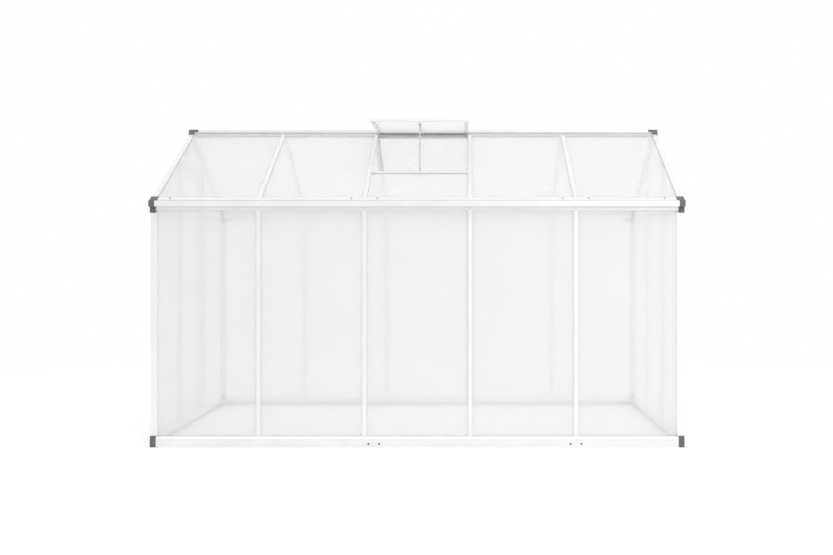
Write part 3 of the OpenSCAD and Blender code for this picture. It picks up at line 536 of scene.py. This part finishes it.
def makeRibTree():
    # upright ribs across a slab that lies in its own XZ plane; rays find where each one starts and stops
    tree, start, end = newTree(
        "flutedRibs",
        "GeometryNodeTree",
        [("Slab", "NodeSocketGeometry", None), ("Rib Pitch", "NodeSocketFloat", 0.01),
         ("Rib Thickness", "NodeSocketFloat", 0.0004), ("Rib Depth", "NodeSocketFloat", 0.005),
         ("Material", "NodeSocketMaterial", None)],
        [("Ribs", "NodeSocketGeometry")],
    )
    slab = start.outputs["Slab"]
    margin = sheetShape["rayMargin"]
    bounds = addNode(tree, "GeometryNodeBoundBox", {"Geometry": slab})
    low = addNode(tree, "ShaderNodeSeparateXYZ", {0: bounds.outputs["Min"]}).outputs
    high = addNode(tree, "ShaderNodeSeparateXYZ", {0: bounds.outputs["Max"]}).outputs
    width = mathNode(tree, "SUBTRACT", high["X"], low["X"])
    clear = mathNode(tree, "SUBTRACT", width, start.outputs["Rib Thickness"])
    gaps = mathNode(tree, "FLOOR", mathNode(tree, "DIVIDE", clear, start.outputs["Rib Pitch"]))
    used = mathNode(tree, "MULTIPLY", gaps, start.outputs["Rib Pitch"])
    firstX = mathNode(
        tree, "ADD", low["X"],
        mathNode(tree, "MULTIPLY", mathNode(tree, "SUBTRACT", width, used), 0.5),
    )
    middleY = mathNode(tree, "MULTIPLY", mathNode(tree, "ADD", low["Y"], high["Y"]), 0.5)
    belowZ = mathNode(tree, "SUBTRACT", low["Z"], margin)
    reach = mathNode(tree, "ADD", mathNode(tree, "SUBTRACT", high["Z"], low["Z"]), 2 * margin)
    begin = addNode(tree, "ShaderNodeCombineXYZ", {"X": firstX, "Y": middleY, "Z": belowZ}).outputs[0]
    step = addNode(tree, "ShaderNodeCombineXYZ", {"X": start.outputs["Rib Pitch"]}).outputs[0]
    row = addNode(
        tree, "GeometryNodeMeshLine",
        {"Count": mathNode(tree, "ADD", gaps, 1.0), "Start Location": begin, "Offset": step},
        mode="OFFSET",
    )
    position = addNode(tree, "GeometryNodeInputPosition").outputs[0]
    upRay = addNode(tree, "GeometryNodeRaycast", {
        "Target Geometry": slab, "Source Position": position,
        "Ray Direction": (0, 0, 1), "Ray Length": reach,
    })
    feet = addNode(tree, "GeometryNodeSetPosition", {
        "Geometry": row.outputs[0], "Selection": upRay.outputs["Is Hit"],
        "Position": upRay.outputs["Hit Position"],
    })
    lift = addNode(tree, "ShaderNodeCombineXYZ", {"Z": reach}).outputs[0]
    downRay = addNode(tree, "GeometryNodeRaycast", {
        "Target Geometry": slab, "Source Position": vectorMath(tree, "ADD", position, lift),
        "Ray Direction": (0, 0, -1), "Ray Length": reach,
    })
    topZ = addNode(tree, "ShaderNodeSeparateXYZ", {0: downRay.outputs["Hit Position"]}).outputs["Z"]
    footZ = addNode(tree, "ShaderNodeSeparateXYZ", {0: position}).outputs["Z"]
    height = mathNode(tree, "SUBTRACT", topZ, footZ)
    cube = addNode(tree, "GeometryNodeMeshCube", {"Size": (1, 1, 1)})
    onFoot = addNode(
        tree, "GeometryNodeTransform", {"Geometry": cube.outputs[0], "Translation": (0, 0, 0.5)}
    )
    scale = addNode(tree, "ShaderNodeCombineXYZ", {
        "X": start.outputs["Rib Thickness"], "Y": start.outputs["Rib Depth"], "Z": height,
    }).outputs[0]
    ribs = addNode(tree, "GeometryNodeInstanceOnPoints", {
        "Points": feet.outputs[0], "Selection": downRay.outputs["Is Hit"],
        "Instance": onFoot.outputs[0], "Scale": scale,
    })
    real = addNode(tree, "GeometryNodeRealizeInstances", {"Geometry": ribs.outputs[0]})
    painted = addNode(
        tree, "GeometryNodeSetMaterial",
        {"Geometry": real.outputs[0], "Material": start.outputs["Material"]},
    )
    tree.links.new(painted.outputs[0], end.inputs["Ribs"])
    return tree


def runTree(holder, tree, values):
    # runs a geometry tree on an object and returns the plain mesh that it makes
    modifier = holder.modifiers.new(tree.name, "NODES")
    modifier.node_group = tree
    inputs = [item for item in tree.interface.items_tree if item.in_out == "INPUT"]
    identifiers = {item.name: item.identifier for item in inputs}
    for key, value in values.items():
        modifier[identifiers[key]] = value
    bpy.context.view_layer.update()
    evaluated = holder.evaluated_get(bpy.context.evaluated_depsgraph_get())
    mesh = bpy.data.meshes.new_from_object(evaluated)
    holder.modifiers.remove(modifier)
    return mesh


def discard(holder):
    mesh = holder.data
    bpy.data.objects.remove(holder)
    bpy.data.meshes.remove(mesh)


def addSkins(target, slab, thickness):
    # each broad face of the slab becomes a closed thin wall inside the slab
    for side in (-1, 1):
        skin = slab.copy()
        others = [f for f in skin.faces if f.normal.y * side <= sheetShape["broadFace"]]
        bmesh.ops.delete(skin, geom=others, context="FACES")
        faces = list(skin.faces)
        made = bmesh.ops.extrude_face_region(skin, geom=faces)["geom"]
        moved = [v for v in made if isinstance(v, bmesh.types.BMVert)]
        bmesh.ops.translate(skin, verts=moved, vec=(0, -side * thickness, 0))
        bmesh.ops.recalc_face_normals(skin, faces=skin.faces)
        pourInto(target, skin)


ribTree = makeRibTree()


def oneSheet(source, island, along):
    # skins and ribs in the place of one slab, built in axes where X crosses the flutes and Z follows them
    normal = largestNormal(source, island)
    flute = (along - normal * along.dot(normal)).normalized()
    toLocal = Matrix((normal.cross(flute).normalized(), normal, flute)).to_4x4()
    members = set(island)
    slab = source.copy()
    slab.verts.ensure_lookup_table()
    source.verts.index_update()
    others = [slab.verts[v.index] for v in source.verts if v not in members]
    bmesh.ops.delete(slab, geom=others, context="VERTS")
    bmesh.ops.transform(slab, matrix=toLocal, verts=slab.verts)
    slab.normal_update()
    low, high = boxOf(slab.verts)
    sheet = bmesh.new()
    addSkins(sheet, slab, sheetShape["skin"])
    skinFaces = len(sheet.faces)
    holder = objectFromBmesh("slab", slab, sheetRib)
    ribMesh = runTree(holder, ribTree, {
        "Rib Pitch": sheetShape["ribPitch"], "Rib Thickness": sheetShape["ribThickness"],
        "Rib Depth": high.y - low.y - 2 * sheetShape["skin"] + 2 * sheetShape["ribBite"],
        "Material": sheetRib,
    })
    discard(holder)
    sheet.from_mesh(ribMesh)
    bpy.data.meshes.remove(ribMesh)
    uvLayer = sheet.loops.layers.uv.new("flutes")
    for index, face in enumerate(sheet.faces):
        face.material_index = 0 if index < skinFaces else 1
        for loop in face.loops:
            loop[uvLayer].uv = loop.vert.co.xz
    bmesh.ops.transform(sheet, matrix=toLocal.inverted(), verts=sheet.verts)
    return sheet


def twinWallSheet(pieceName, nodeName, body, along):
    whole = bmesh.new()
    source = mergedCopy(nodeName)
    for island in islandsOf(source):
        pourInto(whole, oneSheet(source, island, along))
    source.free()
    piece = objectFromBmesh(pieceName, whole, sheetSkin)
    piece.data.materials.append(sheetRib)
    return finishPiece(piece, body, [nodeName])


for sheetName, (replacedNode, sheetBody, fluteWay) in sheetPlan.items():
    twinWallSheet(sheetName, replacedNode, sheetBody, fluteWay)
print("twin-wall sheets:", len(sheetPlan), "pieces")


capShape = {
    "bevel": 0.0011, "segments": 3, "sharpAngle": math.radians(20), "flatAngle": math.radians(1),
}
pullShape = dict(capShape, bevel=0.003, segments=5)

capPlan = {
    "baseCornerCaps": "base_corner_blocks",
    "eaveCornerCaps": "eave_corner_blocks",
    "gutterEndCaps": "gutter_end_caps",
    "ridgeEndCaps": "ridge_end_caps",
}


def markEdges(bm, isEdge):
    # vertex value that the wear mask reads
    layer = bm.verts.layers.float.get("edge") or bm.verts.layers.float.new("edge")
    for vert in bm.verts:
        vert[layer] = 1.0 if isEdge(vert) else 0.0


def roundedCopy(pieceName, nodeName, body, shape):
    # a moulded node with its sharp edges rounded
    bm = mergedCopy(nodeName)
    bm.verts.layers.float.new("edge")
    bmesh.ops.dissolve_limit(bm, angle_limit=shape["flatAngle"], verts=bm.verts, edges=bm.edges)
    sharp = [e for e in bm.edges if len(e.link_faces) == 2
             and e.calc_face_angle(0) > shape["sharpAngle"]]
    made = bmesh.ops.bevel(
        bm, geom=sharp, offset=shape["bevel"], offset_type="OFFSET", segments=shape["segments"],
        profile=0.5, affect="EDGES", clamp_overlap=True,
    )
    rounded = {v for f in made["faces"] for v in f.verts}
    markEdges(bm, lambda vert: vert in rounded)
    for face in bm.faces:
        face.smooth = False
    piece = objectFromBmesh(pieceName, bm, mouldedPlastic)
    return finishPiece(piece, body, [nodeName])


for capName, capNode in capPlan.items():
    roundedCopy(capName, capNode, "house", capShape)
print("caps:", len(capPlan), "pieces")


def lathe(profile, steps, hexFrom=None):
    # turns (radius, height) points about Z; points from hexFrom on follow a hexagon, as a socket does
    bm = bmesh.new()
    rings = []
    for index, (radius, height) in enumerate(profile):
        ring = []
        for step in range(steps):
            angle = 2 * math.pi * step / steps
            reach = radius
            if hexFrom is not None and index >= hexFrom:
                reach = radius / math.cos((angle % (math.pi / 3)) - math.pi / 6)
            ring.append(bm.verts.new((reach * math.cos(angle), reach * math.sin(angle), height)))
        rings.append(ring)
    for lower, upper in zip(rings, rings[1:]):
        for step in range(steps):
            after = (step + 1) % steps
            bm.faces.new((lower[step], lower[after], upper[after], upper[step]))
    return bm, rings


def closeEnds(bm, rings):
    bm.faces.new(list(reversed(rings[0])))
    bm.faces.new(rings[-1])
    bmesh.ops.recalc_face_normals(bm, faces=bm.faces)


fastenerShape = {
    "stripScrew": {"head": 0.0054, "headHeight": 0.0034, "socket": 0.0016,
                   "shank": 0.0021, "shankLength": 0.016},
    "baseBolt": {"head": 0.0055, "headHeight": 0.0036, "socket": 0.0020,
                 "shank": 0.0030, "shankLength": 0.0118,
                 "nut": 0.0050, "nutAt": 0.0050, "nutHeight": 0.0050},
    "trackBolt": {"head": 0.0055, "headHeight": 0.0036, "socket": 0.0020,
                  "shank": 0.0030, "shankLength": 0.0036},
    "barBolt": {"head": 0.0038, "headHeight": 0.0026, "socket": 0.0014,
                "shank": 0.0020, "shankLength": 0.0018},
}

# the curves are shares of the head's or socket's radius and of the head's height
headShape = {
    "headCurve": [(1, 0), (1, 0.22), (0.93, 0.52), (0.78, 0.80), (0.55, 0.97)],
    "socketCurve": [(1.2, 1), (1, 1), (0.95, 0.35)],
    "hexPoints": 2,
    "shoulder": (0.1, 0.6),
    "shoulderReach": 0.9,
    "nutEdge": 0.0006,
    "steps": 24,
    "sharpAngle": math.radians(35),
    "turn": math.pi / 3,
    "seed": 3,
}


def nutBmesh(shape):
    radius, high, edge = shape["nut"], -shape["nutAt"], headShape["nutEdge"]
    low = high - shape["nutHeight"]
    profile = [(radius - edge, low), (radius, low + edge), (radius, high - edge), (radius - edge, high)]
    bm, rings = lathe(profile, headShape["steps"], hexFrom=0)
    closeEnds(bm, rings)
    return bm


def fastenerObject(name, shape):
    # button head above z = 0 with a hexagon socket, shank below it, and a nut where there is one
    head, top, socket = shape["head"], shape["headHeight"], shape["socket"]
    profile = [(shape["shank"], -shape["shankLength"]), (shape["shank"], 0.0)]
    profile += [(head * r, top * h) for r, h in headShape["headCurve"]]
    profile += [(socket * r, top * h) for r, h in headShape["socketCurve"]]
    bm, rings = lathe(profile, headShape["steps"], hexFrom=len(profile) - headShape["hexPoints"])
    closeEnds(bm, rings)
    if "nut" in shape:
        pourInto(bm, nutBmesh(shape))
    low, high = headShape["shoulder"]
    reach = head * headShape["shoulderReach"]
    markEdges(bm, lambda vert: low < vert.co.z / top < high and vert.co.xy.length > reach)
    for face in bm.faces:
        face.smooth = True
    piece = objectFromBmesh(name, bm, darkSteel)
    piece.data.set_sharp_from_angle(angle=headShape["sharpAngle"])
    return piece


def makeFastenerTree():
    # one fastener on each point, with its head towards the point's own facing vector
    tree, start, end = newTree(
        "fastenersOnSeats",
        "GeometryNodeTree",
        [("Seats", "NodeSocketGeometry", None), ("Fastener", "NodeSocketObject", None),
         ("Turn", "NodeSocketFloat", 0.0), ("Seed", "NodeSocketInt", 3),
         ("Material", "NodeSocketMaterial", None)],
        [("Fasteners", "NodeSocketGeometry")],
    )
    shape = addNode(tree, "GeometryNodeObjectInfo", {"Object": start.outputs["Fastener"]})
    facing = addNode(tree, "GeometryNodeInputNamedAttribute", {"Name": "facing"}, data_type="FLOAT_VECTOR")
    aimed = addNode(
        tree, "FunctionNodeAlignRotationToVector", {"Vector": facing.outputs["Attribute"]}, axis="Z"
    )
    spin = addNode(
        tree, "FunctionNodeRandomValue",
        {"Max": start.outputs["Turn"], "Seed": start.outputs["Seed"]}, data_type="FLOAT",
    )
    spinValue = [s for s in spin.outputs if s.enabled][0]
    turned = addNode(tree, "FunctionNodeAxisAngleToRotation", {"Axis": (0, 0, 1), "Angle": spinValue})
    rotation = addNode(
        tree, "FunctionNodeRotateRotation",
        {"Rotation": aimed.outputs[0], "Rotate By": turned.outputs[0]}, rotation_space="LOCAL",
    )
    placed = addNode(tree, "GeometryNodeInstanceOnPoints", {
        "Points": start.outputs["Seats"], "Instance": shape.outputs["Geometry"],
        "Rotation": rotation.outputs[0],
    })
    real = addNode(tree, "GeometryNodeRealizeInstances", {"Geometry": placed.outputs[0]})
    painted = addNode(
        tree, "GeometryNodeSetMaterial",
        {"Geometry": real.outputs[0], "Material": start.outputs["Material"]},
    )
    tree.links.new(painted.outputs[0], end.inputs["Fasteners"])
    return tree


fastenerTree = makeFastenerTree()


def placeFasteners(pieceName, seats, shapeName, material):
    # seats are (place of the head's underside, way the head faces)
    seatMesh = bpy.data.meshes.new("seats")
    seatMesh.from_pydata([tuple(place) for place, _ in seats], [], [])
    facing = seatMesh.attributes.new("facing", "FLOAT_VECTOR", "POINT")
    facing.data.foreach_set("vector", [c for _, way in seats for c in way])
    holder = newObject("seats", seatMesh)
    pattern = fastenerObject(shapeName, fastenerShape[shapeName])
    mesh = runTree(holder, fastenerTree, {
        "Fastener": pattern, "Turn": headShape["turn"], "Seed": headShape["seed"], "Material": material,
    })
    discard(holder)
    discard(pattern)
    mesh.name = pieceName
    return newObject(pieceName, mesh)


def joinPieces(pieceName, pieces):
    bm = bmesh.new()
    for piece in pieces:
        bm.from_mesh(piece.data)
        discard(piece)
    joined = objectFromBmesh(pieceName, bm, darkSteel)
    joined.data.set_sharp_from_angle(angle=headShape["sharpAngle"])
    return joined


# base bolts sit lower than this, and each bar's bolt this far under the bar's head
seatPlan = {"baseBelow": 0.5, "barDrop": 0.010}


def stripScrewSeats():
    # each CAD screw's head stands square on the roof edge strip
    bm = mergedCopy("edge_strip_screws")
    seats = []
    for island in islandsOf(bm):
        low, high = boxOf(island)
        side = -1 if low.y < 0 else 1
        way = Vector((0, side * math.sin(slope), math.cos(slope)))
        crown = max(v.co.dot(way) for v in island)
        middle = (low + high) / 2
        reach = crown - fastenerShape["stripScrew"]["headHeight"] - middle.dot(way)
        seats.append((middle + way * reach, way))
    bm.free()
    return seats


def boltSeats():
    bm = mergedCopy("frame_bolts")
    base, track = [], []
    for island in islandsOf(bm):
        low, high = boxOf(island)
        middle = (low + high) / 2
        if high.z < seatPlan["baseBelow"]:
            side = -1 if middle.y < 0 else 1
            face = low.y if side < 0 else high.y
            seat = face - side * fastenerShape["baseBolt"]["headHeight"]
            base.append((Vector((middle.x, seat, middle.z)), Vector((0, side, 0))))
        else:
            seat = low.x + fastenerShape["trackBolt"]["headHeight"]
            track.append((Vector((seat, middle.y, middle.z)), Vector((-1, 0, 0))))
    bm.free()
    return base, track


finishPiece(
    placeFasteners("stripScrews", stripScrewSeats(), "stripScrew", darkSteel),
    "house", ["edge_strip_screws"],
)
baseSeats, trackSeats = boltSeats()
finishPiece(
    joinPieces("frameBolts", [
        placeFasteners("baseBolts", baseSeats, "baseBolt", darkSteel),
        placeFasteners("trackBolts", trackSeats, "trackBolt", darkSteel),
    ]),
    "house", ["frame_bolts"],
)


def barBoltSeats():
    # under the gutters, one bolt holds each wall bar's head
    seats = []
    for nodeName, side in (("front_wall_bars", -1), ("rear_wall_bars", 1)):
        bm = mergedCopy(nodeName)
        for island in islandsOf(bm):
            low, high = boxOf(island)
            place = Vector(((low.x + high.x) / 2, low.y if side < 0 else high.y,
                            high.z - seatPlan["barDrop"]))
            seats.append((place, Vector((0, side, 0))))
        bm.free()
    return seats


finishPiece(
    placeFasteners("barHeadBolts", barBoltSeats(), "barBolt", zincSteel), "house"
)
print("fasteners: strip screws, frame bolts, bar head bolts")


rollerShape = {
    "rim": 0.012, "groove": 0.0091, "bore": 0.00307, "grooveHalf": 0.0016, "edge": 0.0004,
    "hub": 0.0050, "web": 0.0012, "shoulder": 0.0006, "worn": 1.5, "steps": 48,
    "sharpAngle": math.radians(30),
}


def makeRoller(pieceName, nodeName, body):
    # grooved wheel turned about X, with a raised hub and a dished web on both sides
    low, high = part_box(nodeName)
    half = (high.x - low.x) / 2
    shape = rollerShape
    edge, rim, hub, shoulder = shape["edge"], shape["rim"], shape["hub"], shape["shoulder"]
    groove, grooveHalf, bore = shape["groove"], shape["grooveHalf"], shape["bore"]
    dish = half - shape["web"]
    below = [(bore, -half), (hub, -half), (hub + edge, -dish), (groove - 2 * shoulder, -dish),
             (groove - shoulder, -half), (rim - edge, -half), (rim, -half + edge),
             (rim, -grooveHalf - edge), (rim - edge, -grooveHalf), (groove, -grooveHalf)]
    above = [(radius, -height) for radius, height in reversed(below)]
    bm, rings = lathe(below + above + below[:1], shape["steps"])
    bmesh.ops.remove_doubles(bm, verts=bm.verts, dist=mergeDistance)
    bmesh.ops.recalc_face_normals(bm, faces=bm.faces)
    markEdges(bm, lambda vert: vert.co.xy.length > rim - edge * shape["worn"])
    turn = Matrix.Translation((low + high) / 2) @ Matrix.Rotation(quarter, 4, "Y")
    bmesh.ops.transform(bm, matrix=turn, verts=bm.verts)
    for face in bm.faces:
        face.smooth = True
    piece = objectFromBmesh(pieceName, bm, mouldedPlastic)
    piece.data.set_sharp_from_angle(angle=shape["sharpAngle"])
    return finishPiece(piece, body, [nodeName])


makeRoller("rollerFront", "door_roller_front", "roller_front")
makeRoller("rollerRear", "door_roller_rear", "roller_rear")
roundedCopy("doorPull", "door_handle", "door", pullShape)
print("door: rollers and pull")


studio = {
    "floorReach": 5.4,
    "floorDrop": 0.0005,
    "floorSides": 96,
    "floorColour": (0.90, 0.90, 0.90, 1),
    "floorCloud": (0.91, 0.91, 0.91, 1),
    "floorCloudScale": 0.8,
    "floorRoughness": 0.9,
    "worldColour": (1.0, 1.0, 1.0, 1),
    "worldSeen": 1.0,
    "worldBehind": 0.97,
    "sunStrength": 0.9,
    "sunAngle": math.radians(70),
    "sunTilt": (math.radians(18), math.radians(7), 0),
    "keyPower": 95,
    "keySize": (3.2, 2.4),
    "keyPlace": (4.2, -5.6, 3.4),
    "keyAim": (0.6, -0.6, 1.3),
}


def makeFloor():
    bm = bmesh.new()
    bmesh.ops.create_circle(bm, cap_ends=True, segments=studio["floorSides"], radius=studio["floorReach"])
    bmesh.ops.translate(bm, verts=bm.verts, vec=(0, 0, cadBox[0][2] - studio["floorDrop"]))
    material, tree, principled, coords = newMaterial("paleFloor")
    cloud = noise(tree, coords, studio["floorCloudScale"], detail=2.0)
    tint = mixColour(tree, cloud, studio["floorColour"], studio["floorCloud"])
    feed(tree, principled, {"Base Color": tint, "Roughness": studio["floorRoughness"]})
    objectFromBmesh("floor", bm, material)


def makeWorld():
    world = bpy.data.worlds.new("studioWorld")
    scene.world = world
    world.use_nodes = True
    tree = world.node_tree
    # the camera sees one brightness, and the pieces are lit by the other
    seen = feed(
        tree, tree.nodes["Background"], {"Color": studio["worldColour"], "Strength": studio["worldSeen"]}
    )
    around = addNode(
        tree, "ShaderNodeBackground", {"Color": studio["worldColour"], "Strength": studio["worldBehind"]}
    )
    path = addNode(tree, "ShaderNodeLightPath").outputs["Is Camera Ray"]
    mixed = addNode(tree, "ShaderNodeMixShader", {0: path, 1: around.outputs[0], 2: seen.outputs[0]})
    tree.links.new(mixed.outputs[0], tree.nodes["World Output"].inputs[0])


def makeLights():
    sun = bpy.data.lights.new("softSun", "SUN")
    sun.energy = studio["sunStrength"]
    sun.angle = studio["sunAngle"]
    newObject("softSun", sun).rotation_euler = studio["sunTilt"]
    key = bpy.data.lights.new("keyPanel", "AREA")
    key.shape = "RECTANGLE"
    key.size, key.size_y = studio["keySize"]
    key.energy = studio["keyPower"]
    keyHolder = newObject("keyPanel", key)
    keyHolder.location = studio["keyPlace"]
    aim = Vector(studio["keyAim"]) - Vector(studio["keyPlace"])
    keyHolder.rotation_euler = aim.to_track_quat("-Z", "Y").to_euler()


# the eye stands in front of the long wall, a little right of the middle, and looks straight at it
cameraPlan = {
    "lens": 47.54, "sensor": 36.0, "eyeRight": 0.28, "eyeHeight": 1.074, "eyeAway": 6.345,
    "shiftX": -0.0588, "shiftY": -0.0186, "clipEnd": 100,
}


def makeCamera():
    data = bpy.data.cameras.new("camera")
    data.lens = cameraPlan["lens"]
    data.sensor_width = cameraPlan["sensor"]
    data.shift_x = cameraPlan["shiftX"]
    data.shift_y = cameraPlan["shiftY"]
    data.dof.use_dof = False
    data.clip_end = cameraPlan["clipEnd"]
    holder = newObject("camera", data)
    eyeY = cadBox[0][1] - cameraPlan["eyeAway"]
    holder.location = (cameraPlan["eyeRight"], eyeY, cameraPlan["eyeHeight"])
    holder.rotation_euler = (quarter, 0, 0)
    scene.camera = holder


makeFloor()
makeWorld()
makeLights()
makeCamera()
scene.view_settings.view_transform = "Standard"
scene.cycles.transparent_max_bounces = 48
scene.cycles.diffuse_bounces = 8
scene.cycles.glossy_bounces = 8
print("stage: floor, lights and camera")
